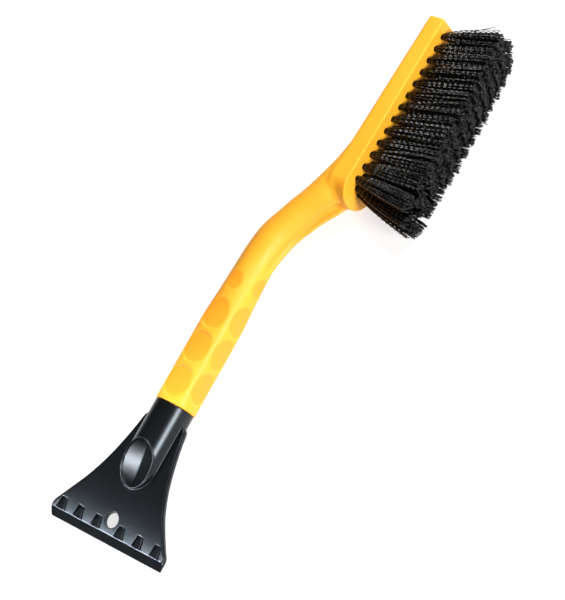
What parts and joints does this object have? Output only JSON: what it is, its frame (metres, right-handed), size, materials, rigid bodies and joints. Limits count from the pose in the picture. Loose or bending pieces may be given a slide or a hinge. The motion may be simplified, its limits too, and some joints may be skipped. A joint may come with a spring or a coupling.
{
  "type": "ice scraper with snow brush",
  "caption": "Hand tool with a bent one-piece handle, a bristled snow brush bar at one end and a flared ice scraper blade plugged into the other.",
  "frame": {"origin": "under the middle of the object's box, on the surface that it lies on", "axes": "+X along the grip from the scraper blade to the brush tip, bristles point to -Y, +Z is the broad face of the blade that has the thumb recess"},
  "size_m": [0.474, 0.1676, 0.042],
  "materials": {
    "yellow_plastic": "moulded, semi-gloss, warm yellow",
    "black_plastic": "moulded, satin black with a fine grain",
    "black_bristle": "crimped synthetic filament, black"
  },
  "bodies": {
    "root": {"handle": "yellow_plastic", "scraper_head": "black_plastic", "tuft_1_01": "black_bristle", "tuft_1_02": "black_bristle", "tuft_1_03": "black_bristle", "tuft_1_04": "black_bristle", "tuft_1_05": "black_bristle", "tuft_1_06": "black_bristle", "tuft_1_07": "black_bristle", "tuft_1_08": "black_bristle", "tuft_1_09": "black_bristle", "tuft_1_10": "black_bristle", "tuft_1_11": "black_bristle", "tuft_1_12": "black_bristle", "tuft_1_13": "black_bristle", "tuft_2_01": "black_bristle", "tuft_2_02": "black_bristle", "tuft_2_03": "black_bristle", "tuft_2_04": "black_bristle", "tuft_2_05": "black_bristle", "tuft_2_06": "black_bristle", "tuft_2_07": "black_bristle", "tuft_2_08": "black_bristle", "tuft_2_09": "black_bristle", "tuft_2_10": "black_bristle", "tuft_2_11": "black_bristle", "tuft_2_12": "black_bristle", "tuft_2_13": "black_bristle", "tuft_3_01": "black_bristle", "tuft_3_02": "black_bristle", "tuft_3_03": "black_bristle", "tuft_3_04": "black_bristle", "tuft_3_05": "black_bristle", "tuft_3_06": "black_bristle", "tuft_3_07": "black_bristle", "tuft_3_08": "black_bristle", "tuft_3_09": "black_bristle", "tuft_3_10": "black_bristle", "tuft_3_11": "black_bristle", "tuft_3_12": "black_bristle", "tuft_3_13": "black_bristle", "tuft_3_14": "black_bristle", "tuft_4_01": "black_bristle", "tuft_4_02": "black_bristle", "tuft_4_03": "black_bristle", "tuft_4_04": "black_bristle", "tuft_4_05": "black_bristle", "tuft_4_06": "black_bristle", "tuft_4_07": "black_bristle", "tuft_4_08": "black_bristle", "tuft_4_09": "black_bristle", "tuft_4_10": "black_bristle", "tuft_4_11": "black_bristle", "tuft_4_12": "black_bristle", "tuft_4_13": "black_bristle"}
  },
  "joints": []
}
